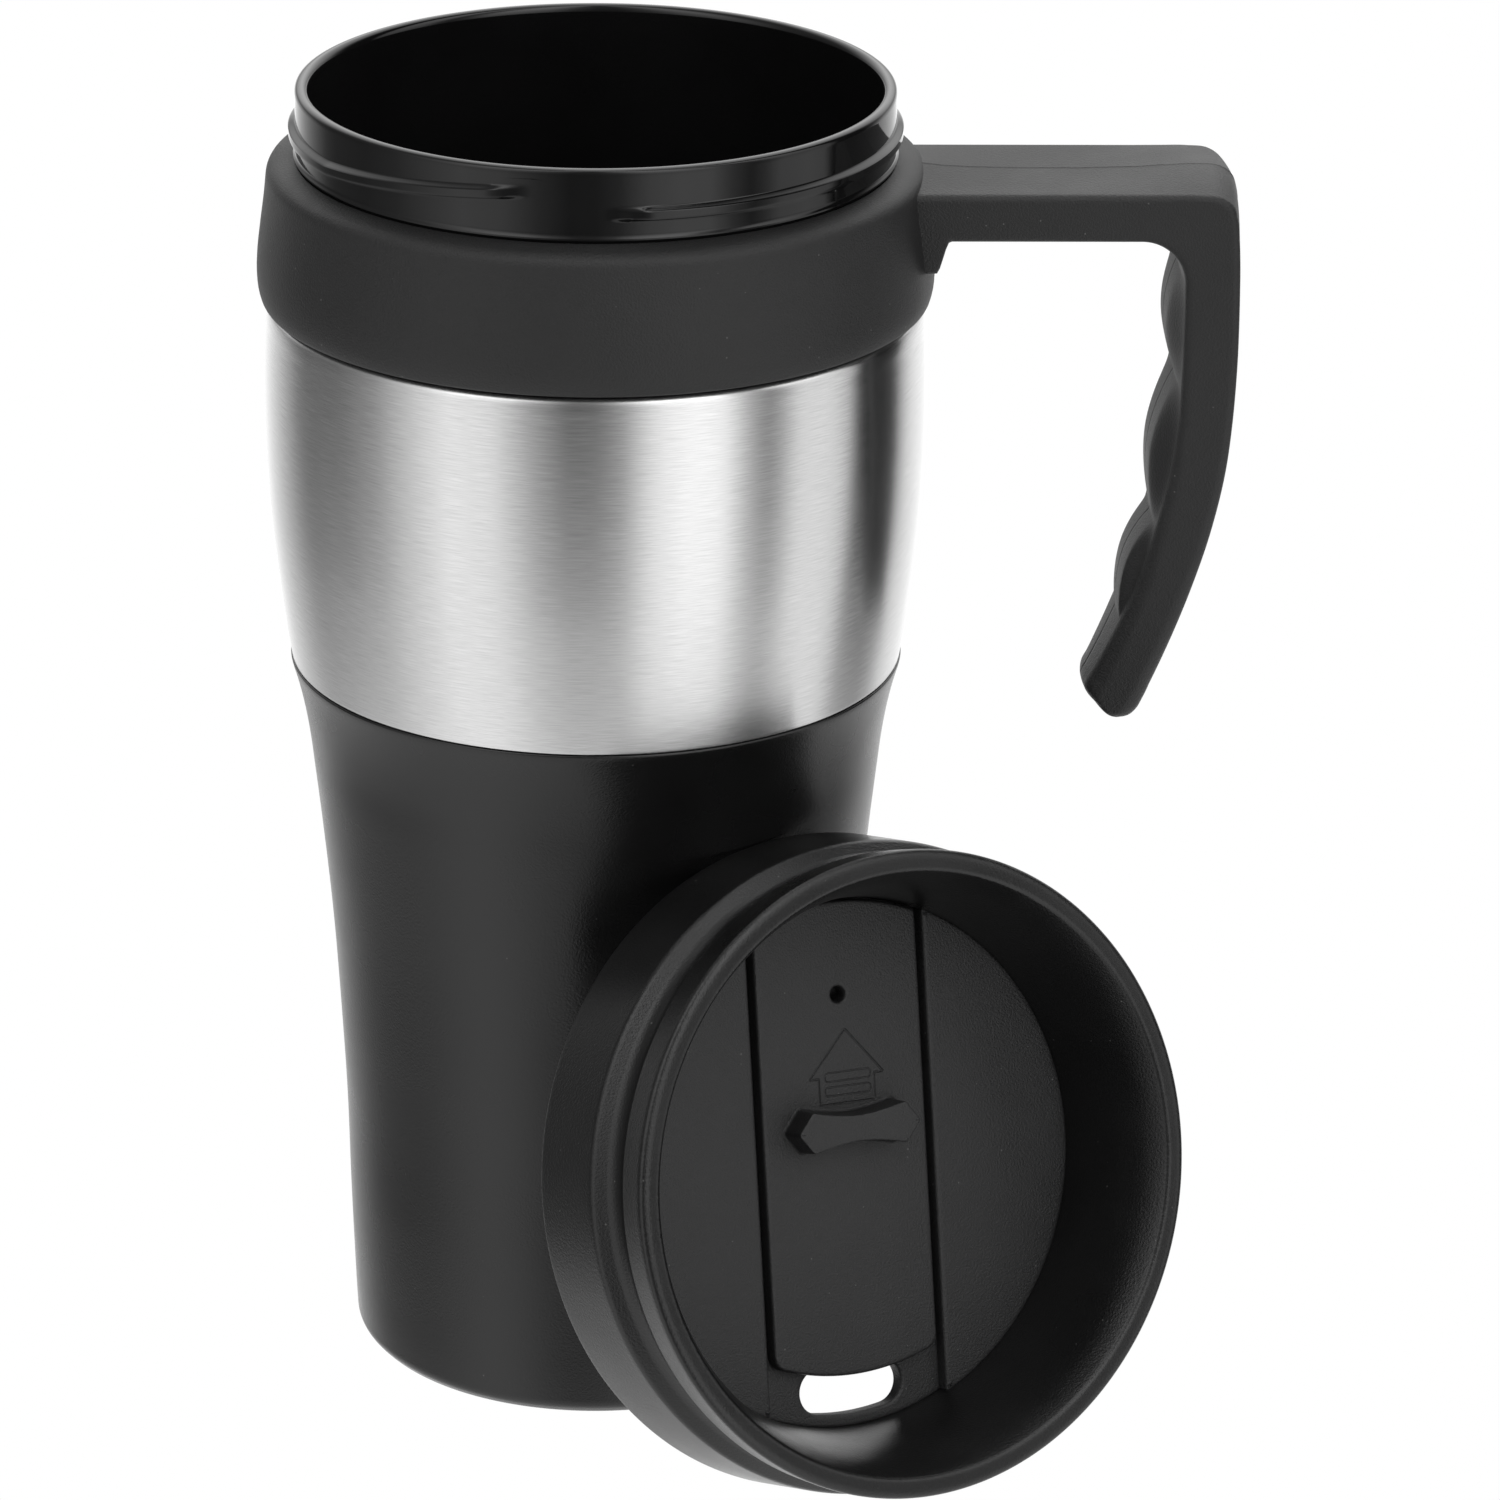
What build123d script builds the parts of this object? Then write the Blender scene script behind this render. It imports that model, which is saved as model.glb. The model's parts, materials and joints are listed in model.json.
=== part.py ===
from build123d import *
import os
from math import atan, cos, radians, sin

# Insulated travel mug with its screw lid taken off and leaning against the wall.
# Millimetres. The origin is the centre of the flat base, +Z runs up the mug's axis,
# the handle points along +X and the lid leans in front, on the -Y side.

# ---- mug: heights above the table and radii about the mug's axis ----
rim_z = 168.0             # top of the drinking mouth, lid off
collar_top_z = 158.9      # where the collar meets the neck
collar_bottom_z = 140.8   # where the collar sits on the steel band
band_bottom_z = 94.0      # where the steel band sits on the lower shell
base_plate_thick = 2.0
liner_floor_z = 6.0       # underside of the liner's floor
foot_r = 30.0             # outer edge of the flat foot
shell_bottom_r = 31.35
shell_top_r = 38.75       # thin lip under the steel band
band_bottom_r = 38.62
band_belly_r = 41.40
band_belly_z = 136.5
band_top_r = 40.90
steel_thick = 0.5
wall = 1.8                # plastic wall of shell and liner
neck_r = 37.2
mouth_r = 35.4
flange_r = 38.6           # liner flange clamped under the collar
collar_bore_r = 37.3
collar_shoulder_r = 40.8
collar_belly_r = 42.3

# ---- thread on the neck: two ribs, half a turn apart, each level and then climbing ----
thread_height = 0.8       # how far a rib stands out
thread_width = 1.7
thread_start = 1.8        # degrees right of the front where one rib begins
level_z = 162.5
level_span = 118.0        # degrees of the level stretch
ramp_span = 48.0          # degrees of the climbing stretch
ramp_rise = 2.6

# ---- handle: outline in the XZ plane, centred on y = 0 ----
handle_depth = 22.8
handle_top_z = 157.4
handle_under_z = 150.8
handle_out_x = 79.8
handle_in_x = 72.6
handle_edge = 1.3         # rounding of the long edges
# Half depth of the leg by height, as (y, z), down to the tip.
taper_curve = [(11.4, 146.0), (11.05, 137.0), (9.9, 125.0), (8.6, 112.0), (7.2, 100.0),
               (5.9, 90.0), (5.0, 82.0)]
grip_depth = 15.0

# ---- lid: heights h along the lid's own axis, measured from the skirt's edge ----
skirt_r = 41.0
skirt_bore_r = 38.6
skirt_top_h = 11.2
waist_r = 38.5
waist_h = 14.6
ring_edge_h = 17.0
ring_r = 39.95
lid_top_h = 22.2
lip_r = 37.0
plug_r = 34.6             # outer wall of the plug that enters the mouth
slot_ceiling_h = 10.8     # ceiling of the ring-shaped slot that takes the neck
deck_r = 33.2
deck_top_h = 5.6          # top of the two fixed plateaus and of the slider
channel_floor_h = 3.8
deck_under_h = 2.0
plug_bottom_h = 0.8
channel_half = 13.1

# ---- slider ----
slider_half = 12.1
slider_end_r = 32.9
slider_travel = 6.3
slider_gap = 0.2
vent_s = 21.2             # vent hole, along the slider from the lid's axis
vent_r = 1.0
tab_s = 5.0
tab_height = 2.8
leg_w = 5.0               # sideways place of the two legs under the tab
leg_size = (3.0, 4.0)
clip_bottom_h = 0.4
slot_r = 28.8             # drink slot, along an arc about the lid's axis
slot_width = 5.6
slot_half_angle = 9.4

# ---- where the lid leans ----
lid_turn = 32.5           # degrees that the lid's face is turned towards +X from -Y
lid_tilt = 16.3           # degrees that its face looks up
lid_roll = 6.4            # degrees that the slider leans over, in the lid's plane
lid_reach = 47.4          # skirt centre, outwards from the mug's axis
lid_side = 3.4            # skirt centre, sideways
lid_lift = 0.05           # clearance under the skirt's lowest point

face = Vector(
    sin(radians(lid_turn)) * cos(radians(lid_tilt)),
    -cos(radians(lid_turn)) * cos(radians(lid_tilt)),
    sin(radians(lid_tilt)),
)
across = Vector(cos(radians(lid_turn)), sin(radians(lid_turn)), 0)
lid_up = face.cross(across)
slide_up = lid_up * cos(radians(lid_roll)) + across * sin(radians(lid_roll))
slide_across = slide_up.cross(face)
outwards = Vector(sin(radians(lid_turn)), -cos(radians(lid_turn)), 0)
lid_origin = outwards * lid_reach + across * lid_side + Vector(0, 0, skirt_r * lid_up.Z + lid_lift)

# Plane for sketches seen from the lid's face: x across the slider, y along it.
lid_plane = Plane(origin=lid_origin, x_dir=slide_across, z_dir=face)
# Plane for revolved profiles: x is the radius, y the height h along the lid's axis.
lid_section = Plane(origin=lid_origin, x_dir=slide_across, z_dir=slide_across.cross(face))
lid_axis = Axis(lid_origin, face)

os.makedirs("parts", exist_ok=True)


def finish(piece, name):
    """Label a finished piece and write it as its own STEP file."""
    piece.part.label = name
    export_step(piece.part, f"parts/{name}.step")


# ---- base plate: flat disc that closes the insulating gap from below ----
plate_r = 28.5
with BuildPart() as base_plate:
    with BuildSketch(Plane.XY):
        Circle(plate_r)
    extrude(amount=base_plate_thick)
    chamfer(base_plate.edges().group_by(Axis.Z)[0], length=0.3)
finish(base_plate, "base_plate")

# ---- lower shell: flared outer wall whose top part runs up inside the steel band ----
core_gap = 0.02
core_thick = 1.6
ledge_r = 26.5
shell_side = [(31.75, 10), (32.3, 28), (33.2, 48), (35.0, 70), (36.6, 84)]
inner_side = [(30.0, 12), (31.4, 48), (34.8, 84)]
with BuildPart() as lower_shell:
    with BuildSketch(Plane.XZ):
        with BuildLine():
            foot = Line((plate_r + 0.1, 0), (foot_r, 0))
            toe = RadiusArc(foot @ 1, (shell_bottom_r, 1.4), -1.4)
            side = Spline([toe @ 1, *shell_side, (shell_top_r, band_bottom_z - 0.5)])
            core_out = band_bottom_r - steel_thick - core_gap
            core_belly = band_belly_r - steel_thick - core_gap
            core_top = band_top_r - steel_thick - core_gap
            lip = Polyline(side @ 1, (shell_top_r, band_bottom_z), (core_out, band_bottom_z))
            core = ThreePointArc(lip @ 1, (40.34 - core_gap, 112), (core_belly, band_belly_z))
            neck_in = Line(core @ 1, (core_top, collar_bottom_z))
            top = Line(neck_in @ 1, (core_top - core_thick, collar_bottom_z))
            inner_top = Line(top @ 1, (core_belly - core_thick, band_belly_z))
            inner_core = ThreePointArc(
                inner_top @ 1, (40.34 - core_thick, 112), (core_out - core_thick, band_bottom_z)
            )
            inner = Spline([inner_core @ 1, *reversed(inner_side), (29.4, 4.4)])
            Polyline(
                inner @ 1,
                (28.8, 3.8),
                (ledge_r, 3.8),
                (ledge_r, base_plate_thick),
                (plate_r + 0.1, base_plate_thick),
                foot @ 0,
            )
        make_face()
    revolve(axis=Axis.Z)
finish(lower_shell, "lower_shell")

# ---- steel band: barrel-shaped sleeve, rolled in a little at its top ----
with BuildPart() as steel_band:
    with BuildSketch(Plane.XZ):
        with BuildLine():
            outer = ThreePointArc(
                (band_bottom_r, band_bottom_z), (40.84, 112), (band_belly_r, band_belly_z)
            )
            roll = RadiusArc(outer @ 1, (band_top_r, collar_bottom_z), -14)
            edge = Line(roll @ 1, (band_top_r - steel_thick, collar_bottom_z))
            roll_in = RadiusArc(edge @ 1, (band_belly_r - steel_thick, band_belly_z), 13.5)
            inner = ThreePointArc(
                roll_in @ 1, (40.34, 112), (band_bottom_r - steel_thick, band_bottom_z)
            )
            Line(inner @ 1, outer @ 0)
        make_face()
    revolve(axis=Axis.Z)
finish(steel_band, "steel_band")

# ---- inner liner: tapered cup with a threaded neck and a flange under the collar ----
liner_floor_r = 25.0
rib_root = neck_r - 0.3
ramp_lean = atan(ramp_rise / (2 * neck_r * sin(radians(ramp_span / 2))))
rib_stretches = []
for start in (thread_start, thread_start + 180):
    rib_stretches.append((start, level_span, level_z, 0))
    rib_stretches.append((start + level_span, ramp_span, level_z + ramp_rise / 2, ramp_lean))
with BuildPart() as inner_liner:
    with BuildSketch(Plane.XZ):
        with BuildLine():
            floor = Line((0, liner_floor_z), (liner_floor_r, liner_floor_z))
            heel = RadiusArc(floor @ 1, (liner_floor_r + 2.6, liner_floor_z + 2.8), -2.8)
            side = Spline(heel @ 1, (30.6, 50), (33.8, 94), (36.6, 130), (neck_r, 139.0))
            flange = Polyline(
                side @ 1, (flange_r, 139.4), (flange_r, collar_bottom_z), (neck_r, collar_bottom_z)
            )
            neck = Line(flange @ 1, (neck_r, rim_z - 0.8))
            rim = ThreePointArc(neck @ 1, ((neck_r + mouth_r) / 2, rim_z), (mouth_r, rim_z - 0.8))
            mouth = Line(rim @ 1, (mouth_r, collar_bottom_z))
            bowl = Spline(mouth @ 1, (34.8, 130), (32.0, 94), (28.8, 50), (25.8, liner_floor_z + 4.6))
            toe = RadiusArc(bowl @ 1, (23.0, liner_floor_z + wall), 2.9)
            Polyline(toe @ 1, (0, liner_floor_z + wall), floor @ 0)
        make_face()
    revolve(axis=Axis.Z)
    # Each stretch of rib is a ring sector, and a ramp's axis leans over to make it climb.
    for start, span, mid_z, lean in rib_stretches:
        middle = radians(start + span / 2 - 90)
        radial = Vector(cos(middle), sin(middle), 0)
        sideways = Vector(-sin(middle), cos(middle), 0)
        rib_axis = Vector(0, 0, 1) * cos(lean) - sideways * sin(lean)
        first = radial.rotate(Axis((0, 0, 0), rib_axis), -span / 2)
        with BuildSketch(Plane(origin=(0, 0, mid_z), x_dir=first, z_dir=first.cross(rib_axis))):
            with BuildLine():
                Polyline(
                    (rib_root, -thread_width / 2),
                    (neck_r + thread_height, -thread_width / 4),
                    (neck_r + thread_height, thread_width / 4),
                    (rib_root, thread_width / 2),
                    close=True,
                )
            make_face()
        revolve(axis=Axis((0, 0, mid_z), rib_axis), revolution_arc=span)
finish(inner_liner, "inner_liner")

# ---- handle and collar: one soft-touch moulding ----
outer_curve = [(79.9, 140), (78.9, 120), (75.25, 104), (70.3, 90.0)]
inner_curve = [(61.9, 89.4), (66.4, 99.8), (69.9, 111), (71.9, 121.6), (handle_in_x, 134)]
lobe_line = [(61.9, 90.6), (68.2, 101.5), (71.2, 112.2), (73.2, 130.6), (73.6, 145.0)]
lobe_peaks = [(64.6, 97.0), (67.4, 105.0), (69.8, 120.4), (70.9, 138.2)]
with BuildPart() as handle_collar:
    with BuildSketch(Plane.XZ):
        with BuildLine():
            shoulder = Line((collar_bore_r, collar_top_z), (39.6, collar_top_z - 0.7))
            brow = ThreePointArc(
                shoulder @ 1, (40.5, 157.8), (collar_shoulder_r, 156.9)
            )
            belly = Spline(
                brow @ 1, (41.7, 150), (collar_belly_r, 145.2), tangents=[(0.06, -1), (0.02, -1)]
            )
            tuck = ThreePointArc(belly @ 1, (42.0, 142.4), (41.1, collar_bottom_z))
            Polyline(tuck @ 1, (collar_bore_r, collar_bottom_z), shoulder @ 0)
        make_face()
    revolve(axis=Axis.Z)



def beyond_taper(inset):
    """Everything beside the leg: it gets narrower towards its tip by a curve in the YZ plane."""
    side = [(y - inset, z) for y, z in taper_curve]
    with BuildPart() as beyond:
        with BuildSketch(Plane.YZ):
            with BuildLine():
                taper = Spline(side, tangents=[(0, -1), (-0.5, -1)])
                Polyline(
                    taper @ 1, (handle_depth, 80), (handle_depth, side[0][1]), taper @ 0
                )
            make_face()
            mirror(about=Plane.YZ)
        extrude(amount=90)
    return beyond.part


def side_edge(edge, sides):
    """True for an edge that bounds exactly one of the leg's flat side faces."""
    return sum(any(edge.is_same(other) for other in face.edges()) for face in sides) == 1


with BuildPart() as handle_arm:
    with BuildSketch(Plane.XZ) as outline:
        with BuildLine():
            top = Line((39.0, handle_top_z), (75.4, handle_top_z))
            corner = RadiusArc(top @ 1, (handle_out_x, handle_top_z - 4.4), 4.4)
            outside = Spline([corner @ 1, *outer_curve], tangents=[(0, -1), (-0.4, -1)])
            tip = Polyline(outside @ 1, (67.75, 84.0), inner_curve[0])
            inside = Spline([*inner_curve, (handle_in_x, 145.4)], tangents=[(0.35, 1), (0, 1)])
            knuckle = RadiusArc(inside @ 1, (67.4, handle_under_z), -5.3)
            Polyline(
                knuckle @ 1, (43.4, handle_under_z), (42.0, 146.8), (39.0, 146.6), top @ 0
            )
        make_face()
        fillet(outline.vertices().sort_by(Axis.Y)[0], radius=2.2)
        fillet(outline.vertices().sort_by_distance((*inner_curve[0], 0))[0], radius=1.8)
    extrude(amount=handle_depth / 2, both=True)
    add(beyond_taper(0), mode=Mode.SUBTRACT)
    sides = handle_arm.faces().filter_by(lambda f: abs(f.normal_at().Y) > 0.9)
    fillet(handle_arm.edges().filter_by(lambda e: side_edge(e, sides)), radius=handle_edge)

with BuildPart() as finger_grip:
    with BuildSketch(Plane.XZ):
        with BuildLine():
            for low, peak, high in zip(lobe_line[:-1], lobe_peaks, lobe_line[1:]):
                ThreePointArc(low, peak, high)
            Polyline(lobe_line[-1], (75.6, 145), (76.0, 128), (73.5, 110), (66.5, 90.4), lobe_line[0])
        make_face()
    extrude(amount=grip_depth / 2, both=True)
    add(beyond_taper(1.6), mode=Mode.SUBTRACT)

with handle_collar:
    add(handle_arm.part)
    add(finger_grip.part)
    # The pieces merge outside the bore only, so the neck keeps its clearance.
    with BuildSketch(Plane.XY.offset(collar_bottom_z - 1)):
        Circle(collar_bore_r)
    extrude(amount=collar_top_z - collar_bottom_z + 3, mode=Mode.SUBTRACT)
finish(handle_collar, "handle_collar")

# ---- lid cap: skirt, waisted rim and sunken drinking deck in one moulding ----
deck_slot_low = tab_s - slider_travel - leg_size[1] / 2 - 0.4
deck_slot_high = tab_s + leg_size[1] / 2 + 0.4
with BuildPart() as lid_cap:
    with BuildSketch(lid_section):
        with BuildLine():
            hem = Line((skirt_bore_r, 0.3), (skirt_bore_r + 0.3, 0))
            hem_out = Polyline(hem @ 1, (skirt_r - 0.4, 0), (skirt_r, 0.4), (40.6, skirt_top_h))
            cove = Spline(
                hem_out @ 1, (39.3, 12.9), (waist_r, waist_h), (39.6, ring_edge_h),
                tangents=[(-0.1, 1), (1, 0.5)],
            )
            ring = Line(cove @ 1, (ring_r, 20.9))
            brim = ThreePointArc(ring @ 1, (39.5, 21.8), (38.6, lid_top_h))
            flat = Line(brim @ 1, (37.6, lid_top_h))
            lip = ThreePointArc(flat @ 1, (37.2, 22.05), (lip_r, 21.6))
            wall_in = ThreePointArc(lip @ 1, (34.3, 14.0), (deck_r, deck_top_h))
            Polyline(
                wall_in @ 1,
                (deck_r, channel_floor_h),
                (0, channel_floor_h),
                (0, deck_under_h),
                (33.0, deck_under_h),
                (33.2, plug_bottom_h),
                (plug_r - 0.3, plug_bottom_h),
                (plug_r, plug_bottom_h + 0.5),
                (plug_r, slot_ceiling_h),
                (skirt_bore_r, slot_ceiling_h),
                hem @ 0,
            )
        make_face()
    revolve(axis=lid_axis)
    # Two raised plateaus leave the slider's channel between them.
    with BuildSketch(lid_plane.offset(channel_floor_h - 0.2)):
        Circle(deck_r + 0.2)
        Rectangle(2 * channel_half, 3 * deck_r, mode=Mode.SUBTRACT)
    extrude(amount=deck_top_h - channel_floor_h + 0.2)
    # Drink slot, vent and the two slots for the slider's legs go through the deck.
    with BuildSketch(lid_plane.offset(deck_under_h - 1)):
        with BuildLine(mode=Mode.PRIVATE) as slot_arc:
            CenterArc((0, 0), slot_r, 270 - slot_half_angle, 2 * slot_half_angle)
        SlotArc(slot_arc.edge(), slot_width)
        with Locations((0, vent_s)):
            Circle(vent_r)
        with Locations(*[(x, (deck_slot_low + deck_slot_high) / 2) for x in (-leg_w, leg_w)]):
            Rectangle(leg_size[0] + 0.6, deck_slot_high - deck_slot_low)
    extrude(amount=channel_floor_h - deck_under_h + 2, mode=Mode.SUBTRACT)
    # Short thread lugs inside the skirt catch the ribs on the neck.
    for start in (20, 200):
        lug_out = slide_across.rotate(Axis((0, 0, 0), face), start)
        lug_plane = Plane(origin=lid_origin, x_dir=lug_out, z_dir=lug_out.cross(face))
        with BuildSketch(lug_plane):
            with BuildLine():
                Polyline(
                    (skirt_bore_r + 0.2, 1.4),
                    (skirt_bore_r - 0.6, 1.9),
                    (skirt_bore_r - 0.6, 2.2),
                    (skirt_bore_r + 0.2, 2.7),
                    close=True,
                )
            make_face()
        revolve(axis=lid_axis, revolution_arc=60)
finish(lid_cap, "lid_cap")

# ---- lid gasket: flat silicone ring in the ceiling of the neck's slot ----
with BuildPart() as lid_gasket:
    with BuildSketch(lid_plane.offset(slot_ceiling_h - 1.15)):
        Circle(skirt_bore_r - 0.1)
        Circle(plug_r + 0.05, mode=Mode.SUBTRACT)
    extrude(amount=1.1)
finish(lid_gasket, "lid_gasket")

# ---- slider: flush plate with a thumb tab, a vent and two legs through the deck ----
tab_outline = [(9.2, 0), (6.9, 2.75), (-6.9, 2.75), (-9.2, 0), (-6.9, -2.75), (6.9, -2.75)]
with BuildPart() as slider:
    with BuildSketch(lid_plane.offset(channel_floor_h + slider_gap)):
        Rectangle(2 * slider_half, 2 * slider_end_r)
        Circle(slider_end_r, mode=Mode.INTERSECT)
        with Locations((0, slider_travel)):
            Circle(slider_end_r, mode=Mode.INTERSECT)
        with Locations((0, vent_s)):
            Circle(vent_r, mode=Mode.SUBTRACT)
    extrude(amount=deck_top_h - channel_floor_h - slider_gap)
    # Thumb tab: pointed ends and sides that curve in at the middle.
    with BuildSketch(lid_plane.offset(deck_top_h)):
        with Locations((0, tab_s)):
            with BuildLine():
                ThreePointArc(tab_outline[1], (0, 1.7), tab_outline[2])
                Polyline(tab_outline[2], tab_outline[3], tab_outline[4])
                ThreePointArc(tab_outline[4], (0, -1.7), tab_outline[5])
                Polyline(tab_outline[5], tab_outline[0], tab_outline[1])
            make_face()
    extrude(amount=tab_height)
    with BuildSketch(lid_plane.offset(clip_bottom_h + 1.4)):
        with Locations((-leg_w, tab_s), (leg_w, tab_s)):
            Rectangle(*leg_size)
    extrude(amount=channel_floor_h + slider_gap - clip_bottom_h - 1.4)
finish(slider, "slider")

# ---- slider clip: snaps onto the legs under the deck and holds the slider down ----
with BuildPart() as slider_clip:
    with BuildSketch(lid_plane.offset(clip_bottom_h)):
        with Locations((0, tab_s)):
            RectangleRounded(2 * leg_w + 7, 8.0, 1.5)
    extrude(amount=1.4)
finish(slider_clip, "slider_clip")

# Joint directions for the record, in the mug's own frame.
print("lid axis", tuple(face), "lid origin", tuple(lid_origin))
print("slider closes along", tuple(slide_up * -1))
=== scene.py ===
"""Looks of an insulated travel mug whose screw lid leans against its lower front.

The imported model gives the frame. Each visible piece is a closed surface worked out with numpy in
millimetres, in the model's own axes, and written to its mesh in metres. Angles round the mug are
measured from the front (-Y) towards the handle (+X).
"""
import json
import math

import bpy
import numpy as np
from mathutils import Matrix, Vector
from mathutils.geometry import tessellate_polygon


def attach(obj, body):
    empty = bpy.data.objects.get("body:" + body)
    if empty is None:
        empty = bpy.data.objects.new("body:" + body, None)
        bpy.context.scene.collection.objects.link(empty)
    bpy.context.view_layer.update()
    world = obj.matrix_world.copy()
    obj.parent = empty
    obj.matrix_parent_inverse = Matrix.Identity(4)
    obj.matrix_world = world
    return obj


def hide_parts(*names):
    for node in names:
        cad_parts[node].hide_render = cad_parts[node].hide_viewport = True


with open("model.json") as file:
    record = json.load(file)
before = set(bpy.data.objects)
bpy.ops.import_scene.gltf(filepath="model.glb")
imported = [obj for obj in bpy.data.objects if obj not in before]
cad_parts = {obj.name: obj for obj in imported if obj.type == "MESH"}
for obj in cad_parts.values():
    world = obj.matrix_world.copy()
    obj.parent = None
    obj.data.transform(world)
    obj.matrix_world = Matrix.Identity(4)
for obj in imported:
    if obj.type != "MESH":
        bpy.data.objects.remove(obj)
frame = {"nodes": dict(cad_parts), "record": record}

MM = 0.001
FULL_TURN = 2 * math.pi
COLUMNS_ROUND = 320
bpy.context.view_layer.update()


# ------------------------------------------------------------------ lines in a plane

def unit(v):
    """The vector divided by its length."""
    v = np.asarray(v, float)
    return v / np.linalg.norm(v)


def straight(a, b, spacing=0.9):
    """Evenly spaced points from a to b, both ends included."""
    a, b = np.asarray(a, float), np.asarray(b, float)
    count = max(2, int(np.ceil(np.linalg.norm(b - a) / spacing)) + 1)
    return a + (b - a) * np.linspace(0, 1, count)[:, None]


def smooth(points, spacing=0.9, count=None):
    """A cubic curve through the points, parametrised by chord length.

    The slope at each point is the second-order difference of its neighbours, and between two
    points the curve is their Hermite blend.
    """
    p = np.asarray(points, float)
    t = np.concatenate(([0], np.cumsum(np.linalg.norm(np.diff(p, axis=0), axis=1))))
    slope = np.gradient(p, t, axis=0, edge_order=2 if len(p) > 2 else 1)
    if count is None:
        count = max(3, int(np.ceil(t[-1] / spacing)) + 1)
    u = np.linspace(0, t[-1], count)
    k = np.clip(np.searchsorted(t, u, side="right") - 1, 0, len(t) - 2)
    h = (t[k + 1] - t[k])[:, None]
    s = ((u - t[k]) / h[:, 0])[:, None]
    near = (1 + 2 * s) * (1 - s) ** 2 * p[k] + s * (1 - s) ** 2 * h * slope[k]
    far = s * s * (3 - 2 * s) * p[k + 1] + s * s * (s - 1) * h * slope[k + 1]
    return near + far


def joined(parts, radii, steps=6):
    """Lines chained end to end; each corner between two of them becomes a parabola.

    The parabola starts its radius before the corner, ends its radius after it, and has the
    corner as its control point. A radius of 0 keeps the corner.
    """
    line = parts[0]
    for part, r in zip(parts[1:], radii):
        corner = part[0]
        if r == 0:
            line = np.concatenate((line, part[1:]))
            continue
        before = corner + r * unit(line[-2] - corner)
        after = corner + r * unit(part[1] - corner)
        s = np.linspace(0, 1, steps + 1)[:, None]
        bend = (1 - s) ** 2 * before + 2 * s * (1 - s) * corner + s * s * after
        reach = 1.05 * r
        line = line[np.linalg.norm(line - corner, axis=1) > reach]
        part = part[np.linalg.norm(part - corner, axis=1) > reach]
        line = np.concatenate((line, bend, part))
    return line


def cornered(points, radii, spacing=0.9):
    """Straight lines through the points, with one corner radius for each inner point."""
    parts = [straight(a, b, spacing) for a, b in zip(points[:-1], points[1:])]
    return joined(parts, radii)


def inset(outline, distance):
    """A closed counter-clockwise outline moved inwards along its mitred vertex normals."""
    ahead = np.roll(outline, -1, axis=0) - outline
    ahead /= np.linalg.norm(ahead, axis=1)[:, None]
    behind = np.roll(ahead, 1, axis=0)
    normal = np.stack((ahead[:, 1] + behind[:, 1], -ahead[:, 0] - behind[:, 0]), axis=1)
    normal /= np.linalg.norm(normal, axis=1)[:, None]
    cosine = np.sum(normal * np.stack((ahead[:, 1], -ahead[:, 0]), axis=1), axis=1)
    return outline - normal * (distance / np.clip(cosine, 0.5, 1))[:, None]


# ------------------------------------------------------------------ surfaces and meshes

def strip_faces(rows, columns, close_rows):
    """Quads between neighbouring rows of a grid whose columns run round and close."""
    grid = np.arange(rows * columns).reshape(rows, columns)
    here = grid if close_rows else grid[:-1]
    above = np.roll(grid, -1, axis=0) if close_rows else grid[1:]
    quads = (here, np.roll(here, -1, axis=1), np.roll(above, -1, axis=1), above)
    return np.stack(quads, axis=-1).reshape(-1, 4)


def outward(points, faces):
    """The faces, all turned round if the closed surface's signed volume is negative."""
    corner = [points[[f[k] for f in faces]] for k in range(3)]
    volume = np.sum(corner[0] * np.cross(corner[1], corner[2]))
    fourth = [f for f in faces if len(f) == 4]
    if fourth:
        q = points[np.asarray(fourth)]
        volume += np.sum(q[:, 0] * np.cross(q[:, 2], q[:, 3]))
    return [f[::-1] for f in faces] if volume < 0 else faces


def shell(grid):
    """Closed surface from a grid of points: rows along a closed profile, columns round an axis."""
    rows, columns = grid.shape[:2]
    points = grid.reshape(-1, 3)
    return points, outward(points, strip_faces(rows, columns, True).tolist())


def capped(grid):
    """Closed surface whose first and last rows are single points, on the axis or mid-section."""
    rows, columns = grid.shape[:2]
    body = grid[1:-1].reshape(-1, 3)
    points = np.concatenate((body, grid[0, :1], grid[-1, :1]))
    faces = strip_faces(rows - 2, columns, False).tolist()
    ring = np.arange(columns)
    ahead = np.roll(ring, -1)
    first, last = len(body), len(body) + 1
    top = ring + (rows - 3) * columns
    faces += np.stack((np.full(columns, first), ahead, ring), axis=1).tolist()
    faces += np.stack((np.full(columns, last), top, np.roll(top, -1)), axis=1).tolist()
    return points, outward(points, faces)


def turned(profile, around=COLUMNS_ROUND):
    """Surface of revolution of (radius, height) points: x = r sin a, y = -r cos a, z = height."""
    a = np.linspace(0, FULL_TURN, around, endpoint=False)
    r, z = profile[:, 0:1], profile[:, 1:2]
    return np.stack((r * np.sin(a), -r * np.cos(a), z + 0 * a), axis=-1)


def swept(outline, levels, side=1):
    """Rings of a closed outline at (height, inset) levels; side -1 widens it instead."""
    return [np.column_stack((inset(outline, side * step), np.full(len(outline), height)))
            for height, step in levels]


def walled(walls):
    """Points and strip faces of (rings, side) walls, and each wall's first and last ring.

    A wall of side -1 bounds a hole, so its faces are wound the other way.
    """
    points, faces, first, last, base = [], [], [], [], 0
    for rings, side in walls:
        columns = len(rings[0])
        points.append(np.concatenate(rings))
        faces += (strip_faces(len(rings), columns, False)[:, ::side] + base).tolist()
        first.append(base + np.arange(columns))
        base += len(rings) * columns
        last.append(base - columns + np.arange(columns))
    return np.concatenate(points), faces, first, last


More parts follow.
